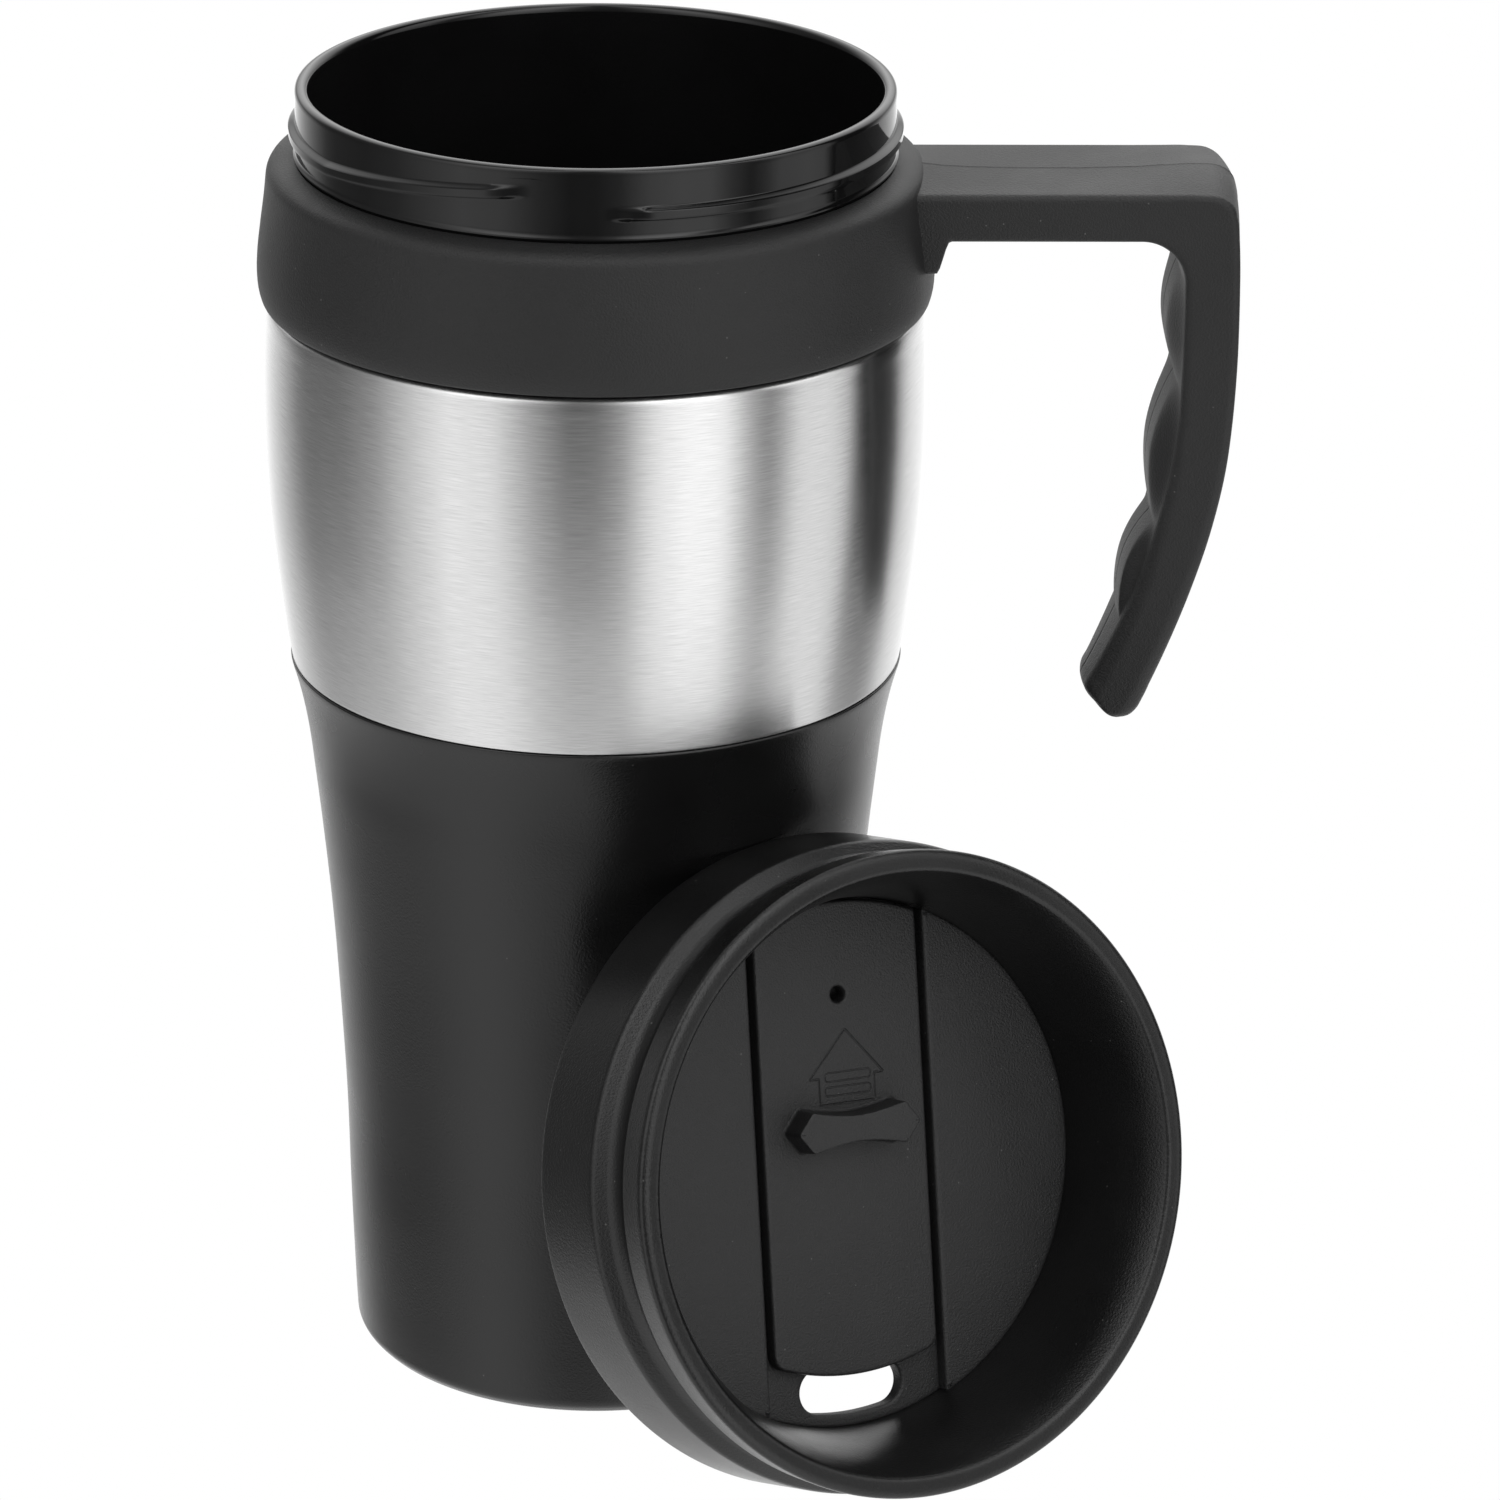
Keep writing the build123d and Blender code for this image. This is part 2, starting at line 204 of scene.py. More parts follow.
def flat_fill(points, loops, upwards):
    """Triangles that fill a level area between loops of point numbers, facing up or down."""
    order = np.concatenate(loops)
    triangles = []
    for triangle in tessellate_polygon([[Vector((*points[i, :2], 0)) for i in ring]
                                        for ring in loops]):
        corners = order[list(triangle)]
        p, q, r = points[corners, :2]
        turned_up = (q[0] - p[0]) * (r[1] - p[1]) - (q[1] - p[1]) * (r[0] - p[0]) > 0
        triangles.append((corners if turned_up == upwards else corners[::-1]).tolist())
    return triangles


def slab(outline, levels, holes=()):
    """Flat plate with shaped edges: a closed outline swept up through (height, inset) levels.

    The bottom and top are filled flat. A hole is an outline that widens where the edge is inset.
    """
    walls = [(swept(outline, levels), 1)] + [(swept(hole, levels, -1), -1) for hole in holes]
    points, faces, bottom, top = walled(walls)
    faces += flat_fill(points, bottom, False) + flat_fill(points, top, True)
    return points, outward(points, faces)


def placed(surface, origin, x_axis, y_axis, z_axis):
    """A surface carried from local coordinates into the model's frame."""
    points, faces = surface
    return origin + points @ np.stack((x_axis, y_axis, z_axis)), faces


def piece(name, surfaces, material, body, node, sharp=38, second=None, second_from=0):
    """One Blender object from closed surfaces in millimetres, riding on a body.

    Surfaces from number second_from on take the second material, if there is one.
    """
    points, faces, base, finish = [], [], 0, []
    for number, (p, f) in enumerate(surfaces):
        points.append(p)
        faces += [[i + base for i in face] for face in f]
        finish += [int(second is not None and number >= second_from)] * len(f)
        base += len(p)
    mesh = bpy.data.meshes.new(name)
    mesh.from_pydata((np.concatenate(points) * MM).tolist(), [], faces)
    mesh.validate()
    mesh.shade_smooth()
    mesh.set_sharp_from_angle(angle=math.radians(sharp))
    made = bpy.data.objects.new(name, mesh)
    bpy.context.scene.collection.objects.link(made)
    made.data.materials.append(material)
    if second is not None:
        made.data.materials.append(second)
        made.data.polygons.foreach_set("material_index", finish)
    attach(made, body)
    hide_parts(node)
    return made


# ------------------------------------------------------------------ node helpers

class Nodes:
    """Short way to add and link shader nodes in one tree."""

    def __init__(self, tree):
        self.tree = tree

    def add(self, kind, **settings):
        """Adds a node; settings are its properties, and inputs is a dict of socket values."""
        node = self.tree.nodes.new(kind)
        inputs = settings.pop("inputs", {})
        for key, value in settings.items():
            setattr(node, key, value)
        for key, value in inputs.items():
            if isinstance(value, bpy.types.NodeSocket):
                self.tree.links.new(value, node.inputs[key])
            else:
                node.inputs[key].default_value = value
        return node

    def math(self, operation, a, b=0.0, c=0.0, clamp=False):
        """A Math node's result for sockets or numbers."""
        node = self.add("ShaderNodeMath", operation=operation, use_clamp=clamp)
        for index, value in enumerate((a, b, c)):
            if isinstance(value, bpy.types.NodeSocket):
                self.tree.links.new(value, node.inputs[index])
            else:
                node.inputs[index].default_value = value
        return node.outputs[0]

    def ramp(self, factor, stops):
        """A colour ramp in greys through (position, grey) stops."""
        node = self.add("ShaderNodeValToRGB", inputs={"Fac": factor})
        ramp = node.color_ramp
        while len(ramp.elements) < len(stops):
            ramp.elements.new(1.0)
        for element, (position, grey) in zip(ramp.elements, stops):
            element.position = position
            element.color = (grey, grey, grey, 1)
        return node.outputs["Color"]


def node_group(name, inputs, outputs):
    """A new shader node group with named float inputs (with values) and typed outputs."""
    group = bpy.data.node_groups.new(name, "ShaderNodeTree")
    for label, value in inputs:
        socket = group.interface.new_socket(label, in_out="INPUT", socket_type="NodeSocketFloat")
        socket.default_value = value
    for label, kind in outputs:
        group.interface.new_socket(label, in_out="OUTPUT", socket_type=kind)
    nodes = Nodes(group)
    return group, nodes, nodes.add("NodeGroupInput").outputs, nodes.add("NodeGroupOutput").inputs


def moulded_grain_group():
    """Spark-eroded mould texture: two sizes of noise give a height and a patchy gloss mask."""
    group, n, given, out = node_group(
        "moulded_grain",
        (("Grain per metre", 2600.0), ("Patch per metre", 60.0)),
        (("Height", "NodeSocketFloat"), ("Patches", "NodeSocketFloat")),
    )
    place = n.add("ShaderNodeTexCoord").outputs["Object"]
    fine = n.add("ShaderNodeTexNoise", inputs={
        "Vector": place, "Scale": given["Grain per metre"], "Detail": 2.0, "Roughness": 0.6})
    wide = n.add("ShaderNodeTexNoise", inputs={
        "Vector": place, "Scale": given["Patch per metre"], "Detail": 3.0, "Roughness": 0.55})
    group.links.new(fine.outputs["Fac"], out["Height"])
    group.links.new(wide.outputs["Fac"], out["Patches"])
    return group


def dust_group():
    """Sparse pale specks: the cores of randomly kept Voronoi cells, with soft edges."""
    group, n, given, out = node_group(
        "dust_specks",
        (("Specks per metre", 900.0), ("Kept", 0.2), ("Speck size", 0.10)),
        (("Mask", "NodeSocketFloat"),),
    )
    place = n.add("ShaderNodeTexCoord").outputs["Object"]
    cells = n.add("ShaderNodeTexVoronoi", inputs={
        "Vector": place, "Scale": given["Specks per metre"]})
    dice = n.add("ShaderNodeSeparateColor", inputs={"Color": cells.outputs["Color"]})
    kept = n.math("LESS_THAN", dice.outputs[0], given["Kept"])
    size = n.math("MULTIPLY", given["Speck size"], n.math("ADD", dice.outputs[1], 0.35))
    core = n.math("SUBTRACT", size, cells.outputs["Distance"])
    soft = n.math("DIVIDE", core, 0.04, clamp=True)
    group.links.new(n.math("MULTIPLY", soft, kept), out["Mask"])
    return group


def brushing_group():
    """Fine scratches round the axis: noise squeezed along the height and stretched round.

    The noise is read at (angle times radius, height), so the lines follow the metal's sleeve.
    """
    group, n, given, out = node_group(
        "round_brushing",
        (("Lines per metre", 8500.0), ("Length", 0.030)),
        (("Lines", "NodeSocketFloat"), ("Clouds", "NodeSocketFloat")),
    )
    place = n.add("ShaderNodeTexCoord").outputs["Object"]
    axes = n.add("ShaderNodeSeparateXYZ", inputs={"Vector": place})
    angle = n.math("ARCTAN2", axes.outputs["X"], n.math("MULTIPLY", axes.outputs["Y"], -1.0))
    sleeve_radius, cloud_radius, clouds_per_metre = 0.041, 0.008, 170.0
    stretch = n.math("MULTIPLY", given["Length"], sleeve_radius)
    squeezed = n.add("ShaderNodeCombineXYZ", inputs={
        "X": n.math("MULTIPLY", angle, stretch), "Y": 0.0, "Z": axes.outputs["Z"]})
    lines = n.add("ShaderNodeTexNoise", inputs={
        "Vector": squeezed.outputs[0], "Scale": given["Lines per metre"],
        "Detail": 4.0, "Roughness": 0.7})
    wide = n.math("MULTIPLY", angle, cloud_radius)
    band = n.add("ShaderNodeCombineXYZ", inputs={"X": wide, "Y": 0.3, "Z": axes.outputs["Z"]})
    clouds = n.add("ShaderNodeTexNoise", inputs={
        "Vector": band.outputs[0], "Scale": clouds_per_metre, "Detail": 1.5, "Roughness": 0.5})
    group.links.new(lines.outputs["Fac"], out["Lines"])
    group.links.new(clouds.outputs["Fac"], out["Clouds"])
    return group


GRAIN = moulded_grain_group()
DUST = dust_group()
BRUSHING = brushing_group()


def new_material(name):
    """An empty node material, its Nodes helper, its shader and the shader's output link."""
    material = bpy.data.materials.new(name)
    material.use_nodes = True
    material.node_tree.nodes.clear()
    n = Nodes(material.node_tree)
    shader = n.add("ShaderNodeBsdfPrincipled")
    n.add("ShaderNodeOutputMaterial", inputs={"Surface": shader.outputs[0]})
    return material, n, shader


def place_group(n, group, values):
    """Places a node group in a material with its own values."""
    return n.add("ShaderNodeGroup", node_tree=group, inputs=values).outputs


def plastic(name, dark, pale, rough, rough_spread, grain, depth, dust, specular=0.5):
    """Moulded black plastic.

    Colour runs from dark to pale over wide patches, specks of dust lie on it, roughness varies
    by rough_spread about rough, and the grain is a bump of the given depth in metres.
    """
    material, n, shader = new_material(name)
    tone = place_group(n, GRAIN, {"Grain per metre": grain, "Patch per metre": 55.0})
    specks = place_group(n, DUST, {"Kept": dust})
    patches = n.ramp(tone["Patches"], ((0.36, 0.0), (0.64, 1.0)))
    base = n.add("ShaderNodeMix", data_type="RGBA", inputs={
        "Factor": patches, "A": (dark, dark, dark * 1.02, 1), "B": (pale, pale, pale * 1.02, 1)})
    dusty = n.add("ShaderNodeMix", data_type="RGBA", inputs={
        "Factor": n.math("MULTIPLY", specks["Mask"], 0.25), "A": base.outputs["Result"],
        "B": (0.3, 0.3, 0.29, 1)})
    gloss = n.add("ShaderNodeMapRange", inputs={
        "Value": tone["Patches"], "From Min": 0.35, "From Max": 0.65,
        "To Min": rough - rough_spread, "To Max": rough + rough_spread})
    bump = n.add("ShaderNodeBump", inputs={
        "Strength": 1.0, "Distance": depth, "Height": tone["Height"]})
    n.tree.links.new(dusty.outputs["Result"], shader.inputs["Base Color"])
    n.tree.links.new(gloss.outputs["Result"], shader.inputs["Roughness"])
    n.tree.links.new(bump.outputs["Normal"], shader.inputs["Normal"])
    shader.inputs["Specular IOR Level"].default_value = specular
    return material


def brushed_steel(name):
    """Stainless sleeve brushed round the axis.

    The tangent runs round Z, so reflections spread up and down; scratches and wide clouds vary
    the roughness, the tint and the bump.
    """
    material, n, shader = new_material(name)
    brushed = place_group(n, BRUSHING, {})
    tint = n.ramp(brushed["Lines"], ((0.3, 0.58), (0.7, 0.76)))
    rough = n.math("ADD", n.math("MULTIPLY", brushed["Lines"], 0.08), 0.18)
    cloudy = n.math("ADD", n.math("MULTIPLY", brushed["Clouds"], 0.03), rough)
    bump = n.add("ShaderNodeBump", inputs={
        "Strength": 0.6, "Distance": 0.000002, "Height": brushed["Lines"]})
    tangent = n.add("ShaderNodeTangent", direction_type="RADIAL", axis="Z")
    links = n.tree.links
    links.new(tint, shader.inputs["Base Color"])
    links.new(cloudy, shader.inputs["Roughness"])
    links.new(bump.outputs["Normal"], shader.inputs["Normal"])
    links.new(tangent.outputs[0], shader.inputs["Tangent"])
    shader.inputs["Metallic"].default_value = 1.0
    shader.inputs["Anisotropic"].default_value = 0.84
    shader.inputs["Anisotropic Rotation"].default_value = 0.25
    return material


soft_touch = plastic("soft_touch_black", 0.0062, 0.0092, 0.54, 0.04, 3600.0, 0.00011, 0.14)
satin_shell = plastic("satin_shell_black", 0.0018, 0.0028, 0.27, 0.03, 3600.0, 0.00003, 0.03)
satin_lid = plastic("satin_lid_black", 0.0034, 0.0050, 0.31, 0.04, 3300.0, 0.00005, 0.08)
deck_black = plastic("deck_black", 0.012, 0.017, 0.50, 0.04, 3800.0, 0.00011, 0.14)
gloss_black = plastic("gloss_liner_black", 0.0050, 0.0065, 0.075, 0.02, 900.0, 0.000004, 0.01,
                      specular=0.38)
silicone = plastic("silicone_black", 0.040, 0.050, 0.62, 0.03, 2600.0, 0.00004, 0.15)
steel = brushed_steel("brushed_steel")


# ------------------------------------------------------------------ the mug's sleeve pieces

band_side = [(38.62, 94.0), (39.30, 98.8), (40.10, 105.2), (40.86, 112.6), (41.32, 120.4),
             (41.50, 128.4), (41.44, 133.6), (41.27, 137.6), (41.12, 139.5), (40.95, 140.15),
             (40.66, 140.5), (40.4, 140.6)]
band_thick = 0.5


def steel_band():
    """Barrel-shaped sleeve: its side curve and the same curve one sheet thickness inwards."""
    outer = smooth(band_side, 0.45)
    inner = outer[::-1] - (band_thick, 0.05)
    top = straight(outer[-1], inner[0], 0.12)
    bottom_in = straight(inner[-1], (inner[-1][0] + band_thick / 2, inner[-1][1]), 0.12)
    bottom_out = straight(bottom_in[-1], outer[0], 0.12)
    loop = joined([bottom_out, outer, top, inner, bottom_in[:-1]], (0.12, 0.2, 0.12, 0.12), 4)
    return shell(turned(loop))


def lower_shell():
    """Flared wall: foot, toe, side curve up to a thin lip, and a core inside the steel."""
    foot = straight((28.6, 0), (30.05, 0))
    toe = straight((30.05, 0), (31.36, 1.4))
    side = smooth([(31.36, 1.4), (31.50, 4), (31.74, 10), (32.08, 20), (32.38, 32),
                   (33.04, 45), (33.89, 58), (35.02, 70), (35.90, 78), (36.62, 84),
                   (37.32, 88), (38.02, 91), (38.66, 93.2)])
    lip = straight((38.66, 93.2), (38.80, 93.85), 0.2)
    ledge = straight((38.80, 93.85), (38.0, 93.95), 0.2)
    core = smooth([(38.0, 93.95), (40.2, 112), (40.86, 128), (40.6, 137), (40.3, 140.7)], 2.0)
    top = straight((40.3, 140.7), (38.8, 140.7))
    inner = smooth([(38.8, 140.7), (39.2, 128), (38.5, 112), (36.4, 94), (34.8, 84),
                    (31.4, 48), (30.0, 12), (28.8, 3.8)], 3.0)
    under = cornered([(28.8, 3.8), (26.6, 3.8), (26.6, 2.1), (28.6, 2.1), (28.6, 0.02)],
                     (0.2, 0.2, 0.2))
    loop = joined([foot, toe, side, lip, ledge, core, top, inner, under],
                  (0.6, 0.7, 0.3, 0.25, 0.2, 0.3, 0.3, 0.3))
    return shell(turned(loop))


# ------------------------------------------------------------------ liner with its thread

neck_r, mouth_r = 37.2, 35.4
rib_start, rib_level, rib_ramp = 1.8, 118.0, 48.0
rib_z, rib_rise, rib_height = 162.5, 2.6, 0.85
bead_z, bead_height = 159.45, 0.28


def ease(x):
    """Smooth step from 0 to 1 as x goes from 0 to 1."""
    x = np.clip(x, 0, 1)
    return x * x * (3 - 2 * x)


def thread(angle, z):
    """Height of the thread over the neck and how far the rows climb with it, in millimetres.

    Two ribs half a turn apart each run level and then climb; both ends fade out, and the
    section is a flat-topped ridge with sloping sides. Rows of the grid near the ribs climb with
    them and come back after their ends, so a rib's edges lie along rows.
    """
    along = np.mod(angle - rib_start, 180.0)
    rib_end = rib_level + rib_ramp
    climb = rib_rise * np.clip((along - rib_level) / rib_ramp, 0, 1)
    climb = climb * (1 - ease((along - rib_end) / (180.0 - rib_end)))
    follow = ease((z - 159.95) / 1.5) * ease((167.1 - z) / 3.4)
    ends = ease(along / 9.0) * ease((rib_end - along) / 9.0)
    ridge = ease((0.95 - np.abs(z - rib_z)) / 0.5)
    return rib_height * ridge * ends, climb * follow


def inner_liner():
    """Tapered cup turned about Z, with the thread raised on its neck and a bead at its foot."""
    floor = straight((0, 6.0), (26.2, 6.0), 3.0)
    heel = smooth([(26.2, 6.0), (27.6, 8.8), (30.6, 50), (33.8, 94), (36.6, 130),
                   (36.9, 139.2)], 5)
    flange = cornered([(36.9, 139.2), (38.5, 139.4), (38.5, 140.9), (neck_r, 140.9)], (0.2, 0.2))
    low_neck = straight((neck_r, 140.9), (neck_r, 158.6), 2.5)
    neck = straight((neck_r, 158.6), (neck_r, 167.25), 0.19)
    rim = smooth([(neck_r, 167.25), (37.05, 167.72), (36.5, 167.96), (35.95, 167.9),
                  (35.55, 167.55), (mouth_r, 167.0)], 0.2)
    mouth = straight((mouth_r, 167.0), (mouth_r, 141.0), 3.0)
    bowl = smooth([(mouth_r, 141.0), (34.8, 130), (32.0, 94), (28.8, 50), (25.8, 10.6)], 2.5)
    toe = smooth([(25.8, 10.6), (25.0, 8.8), (23.0, 7.8)], 0.5)
    base = straight((23.0, 7.8), (0, 7.8), 3.0)
    line = joined([floor, heel, flange, low_neck, neck, rim, mouth, bowl, toe, base],
                  (0.8, 0.2, 0.2, 0, 0, 0, 0, 0, 0))
    around = 420  # finer than the other pieces, for the ends of the ribs
    grid = turned(line, around)
    angle = np.linspace(0, 360, around, endpoint=False)[None, :]
    on_neck = ((line[:, 0] > 37.0) & (line[:, 1] > 158.7) & (line[:, 1] < 167.2))[:, None]
    z = line[:, 1:2]
    bead = bead_height * ease((0.42 - np.abs(z - bead_z)) / 0.3)
    ridge, climb = thread(angle, z)
    lift = np.where(on_neck, ridge + bead, 0)
    grid[..., 2] += np.where(on_neck, climb, 0)
    grid[..., 0] += lift * np.sin(np.radians(angle))
    grid[..., 1] -= lift * np.cos(np.radians(angle))
    return capped(grid)


# ------------------------------------------------------------------ collar and handle

def collar():
    """Belted ring: soft shoulder, belly that swells downwards, and a tuck onto the steel."""
    shoulder = smooth([(37.35, 158.95), (38.6, 158.62), (39.8, 158.2), (40.5, 157.7),
                       (40.9, 156.8)], 0.3)
    belly = smooth([(40.9, 156.8), (41.19, 154), (41.73, 150), (42.12, 146.6), (42.2, 144.4),
                    (42.02, 142.4), (41.62, 141.1)], 0.6)
    tuck = straight((41.62, 141.1), (40.4, 140.75), 0.4)
    under = straight((40.4, 140.75), (37.35, 140.8))
    bore = straight((37.35, 140.8), (37.35, 158.7), 3.0)
    return shell(turned(joined([shoulder, belly, tuck, under, bore], (0.3, 0.5, 0.3, 0.3))))


# Rails of the handle in the XZ plane. The crest rail is the mould's parting plane, y = 0, and
# the edge rail is where the top meets the flat sides. The inner rail faces the hand gap.
arm_x = [38.3, 40.5, 43.0, 47.0, 53.0, 60.0, 67.4]
arm_crest_z = [158.1, 157.75, 157.45, 157.25, 157.15, 157.15, 157.35]
arm_edge_z = 156.95
corner_crest = [(67.4, 157.35), (71.0, 157.6), (74.6, 157.8), (77.1, 157.6), (78.8, 156.5),
                (79.5, 154.6), (79.75, 151.6), (79.8, 148.4), (79.8, 145.2)]
corner_edge = [(67.4, 156.95), (70.8, 156.97), (74.2, 156.95), (76.9, 156.6), (78.4, 155.5),
               (79.05, 153.4), (79.3, 150.7), (79.45, 147.9), (79.52, 145.2)]
knuckle = [(67.4, 150.85), (69.5, 150.35), (71.2, 149.1), (72.3, 147.3), (72.7, 145.2)]
leg_crest = [(79.8, 145.2), (79.8, 140.0), (79.75, 134.0), (79.55, 128.0), (79.0, 121.0),
             (77.4, 112.0), (75.15, 103.7), (72.55, 96.0), (70.3, 90.2)]
leg_edge = [(79.52, 145.2), (79.6, 139.5), (79.55, 133.0), (79.3, 126.8), (78.75, 120.4),
            (77.2, 111.8), (75.0, 103.6), (72.45, 95.9), (70.25, 90.1)]
leg_inner = [(72.7, 145.2), (72.72, 139.5), (72.68, 133.2), (72.45, 126.0), (71.7, 119.9),
             (70.05, 111.9), (67.95, 104.0), (65.5, 97.7), (63.6, 93.4)]
tip_outer = [(70.25, 90.1), (69.45, 88.05), (68.75, 86.65), (67.85, 85.8), (66.85, 85.55),
             (65.8, 85.8), (64.75, 86.5)]
tip_inner = [(63.6, 93.4), (62.75, 91.6), (62.15, 90.45), (62.0, 89.75), (62.3, 89.0),
             (63.15, 88.05), (64.75, 86.5)]
# Half depth of the leg and radius of its long edges, by height.
leg_z = [84.0, 90.0, 100.0, 112.0, 125.0, 137.0, 146.0]
leg_half = [5.3, 5.9, 7.2, 8.6, 9.9, 11.05, 11.4]
leg_round = [2.3, 2.2, 1.9, 1.5, 1.2, 1.0, 1.0]
# Finger lobes: top and low end by height, and how far each stands out.
lobes = [(145.6, 131.4, 1.55), (130.9, 112.7, 2.35), (112.2, 99.4, 1.75)]
# The arm's underside: height of its foot on the collar, the step up from it, where and how long.
foot_z, foot_step, foot_x, foot_run = 146.7, 4.15, 41.9, 1.7
arm_steps, corner_steps, leg_steps, tip_steps = 70, 60, 150, 40


def handle_rails():
    """Matched points along the crest, edge and inner rails, from the collar to the tip.

    The arm's points lie closer together near the collar. The inner rail starts with a short foot
    against the collar and then eases up to the arm's flat underside.
    """
    x = arm_x[0] + (arm_x[-1] - arm_x[0]) * np.linspace(0, 1, arm_steps) ** 1.35
    crest = np.column_stack((x, np.interp(x, arm_x, arm_crest_z)))
    edge = np.column_stack((x, np.full(arm_steps, arm_edge_z)))
    foot = foot_z + foot_step * ease((x - foot_x) / foot_run)
    rails = [[crest], [edge], [np.column_stack((x, foot))]]
    spans = ((corner_crest, corner_edge, knuckle, corner_steps),
             (leg_crest, leg_edge, leg_inner, leg_steps),
             (tip_outer, tip_outer, tip_inner, tip_steps))
    for *lines, steps in spans:
        for rail, line in zip(rails, lines):
            rail.append(smooth(line, count=steps)[1:])
    return [np.concatenate(rail) for rail in rails]


def handle():
    """A rounded rectangle carried along the rails, narrower and rounder towards the tip.

    At each step the section spans from the inner rail to the outer one. Its outer side is
    crowned from the edge rail to the crest rail with a fine ridge at y = 0; its inner side has
    the finger lobes, flat-topped ridges that slope down to the flat sides; its corners are
    quarter circles. The tip closes where the two rails meet, with sides that draw in.
    """
    crest, edge, inner = handle_rails()
    across = edge - inner
    width = np.linalg.norm(across, axis=1)
    across /= np.maximum(width, 1e-6)[:, None]
    across[width < 0.05] = across[np.argmax(width < 0.05) - 1]
    rise = np.sum((crest - edge) * across, axis=1)
    rise[-tip_steps:] = 0
    z_in = inner[:, 1]
    lobe = np.zeros(len(inner))
    leg = (inner[:, 0] > 61) & (z_in < 148)  # the rest is the arm
    for top_z, low_z, height in lobes:
        along = (top_z - z_in) / (top_z - low_z)
        bump = height * np.sin(math.pi * np.clip(along, 0, 1)) ** 0.85
        lobe = np.maximum(lobe, np.where(leg, bump, 0))
    middle_z = np.where(leg, (edge[:, 1] + z_in) / 2, leg_z[-1])
    half = np.interp(middle_z, leg_z, leg_half)
    rounding = np.interp(middle_z, leg_z, leg_round)
    r = np.minimum(rounding, 0.48 * width)[:, None]
    # Where the tip closes its sides draw in as a quarter circle would.
    closing = np.clip((2.1 * rounding - width) / (2.1 * rounding), 0, 1)
    half = (half - 0.5 * rounding * (1 - np.sqrt(1 - closing ** 2)))[:, None]
    width, flat_y = width[:, None], half - r
    # Outer side, from +y to -y.
    share = np.concatenate((np.linspace(1, 0.05, 10), (0.022, 0.01, 0.0, -0.01, -0.022),
                            np.linspace(-0.05, -1, 10)))
    crown = 1 - 0.45 * np.abs(share) - 0.55 * share ** 2
    ridge = 0.07 * np.clip(1 - np.abs(share) / 0.02, 0, 1) * ease(width / 3)
    outer_side = (width + rise[:, None] * crown + ridge, share * flat_y)
    quarter = np.radians(np.linspace(0, 90, 9)[1:])
    fall, run = 1 - np.cos(quarter), np.sin(quarter)
    near_top = (width - r * fall, -flat_y - r * run)
    side = np.linspace(0, 1, 11)[1:-1]
    side_reach = (width - 2 * r) * (1 - side) + r
    near_side = (side_reach, -half + 0 * side_reach)
    near_low = (r * fall[::-1], -flat_y - r * run[::-1])
    crest_half = np.minimum(4.4, 0.9 * flat_y)
    slope = np.linspace(0, 1, 9)
    band_share = np.concatenate((np.linspace(-1, -0.06, 8), (-0.03, -0.012, 0.012, 0.03),
                                 np.linspace(0.06, 1, 8)))
    y_in = np.concatenate((-flat_y + (flat_y - crest_half) * slope[:-1],
                           crest_half * band_share,
                           crest_half + (flat_y - crest_half) * slope[1:]), axis=1)
    reach_in = np.clip((flat_y + 0.2 - np.abs(y_in)) / (flat_y - crest_half + 0.2), 0, 1)
    window = np.where(np.abs(y_in) < crest_half + 0.01, 1.0, ease(reach_in) ** 0.8)
    belly = 0.25 * (1 - (y_in / flat_y) ** 2) * ease((width - 1.0) / 3.0)
    groove_in = 0.13 * np.clip((0.14 - np.abs(y_in)) / 0.08, 0, 1) * ease(width - 2) * leg[:, None]
    inner_side = (-(lobe[:, None] * window) - belly + groove_in, y_in)
    far_low = (r * fall, flat_y + r * run)
    far_side = (side_reach[:, ::-1], half + 0 * side_reach)
    far_top = (width - r * fall[::-1], flat_y + r * run[::-1])
    parts = (outer_side, near_top, near_side, near_low, inner_side, far_low, far_side, far_top)
    reach = np.concatenate([p[0] for p in parts], axis=1)
    y = np.concatenate([p[1] for p in parts], axis=1)
    x = inner[:, 0:1] + reach * across[:, 0:1]
    z = inner[:, 1:2] + reach * across[:, 1:2]
    grid = np.stack((x, y, z), axis=-1)
    start = np.broadcast_to(grid[0].mean(axis=0), grid[0].shape)
    end = np.broadcast_to(grid[-1].mean(axis=0), grid[-1].shape)
    return capped(np.concatenate((start[None], grid, end[None])))


# ------------------------------------------------------------------ lid

joints = {j["name"]: j for j in frame["record"]["behaviour"]["joints"]}
lid_origin = np.asarray(joints["lid_turn"]["pos_m"]) / MM
face = unit(joints["lid_turn"]["axis"])
slide_up = -unit(joints["slider_slide"]["axis"])
slide_across = np.cross(slide_up, face)
on_lid = (lid_origin, slide_across, slide_up, face)

deck_r, deck_top, channel_floor, deck_under = 33.2, 5.6, 3.8, 2.0
channel_half, slider_half, slider_end_r, slider_travel = 13.1, 12.1, 32.9, 6.3
slot_r, slot_half_width, slot_half_angle = 28.8, 2.8, 9.4
vent_s, vent_r, tab_s = 21.2, 1.0, 5.0


def arc(radius, start, end, spacing=0.5, centre=(0, 0)):
    """Points on a circle from one angle to another, in degrees."""
    count = max(3, int(abs(math.radians(end - start)) * radius / spacing) + 1)
    a = np.radians(np.linspace(start, end, count))
    return np.column_stack((np.cos(a), np.sin(a))) * radius + centre


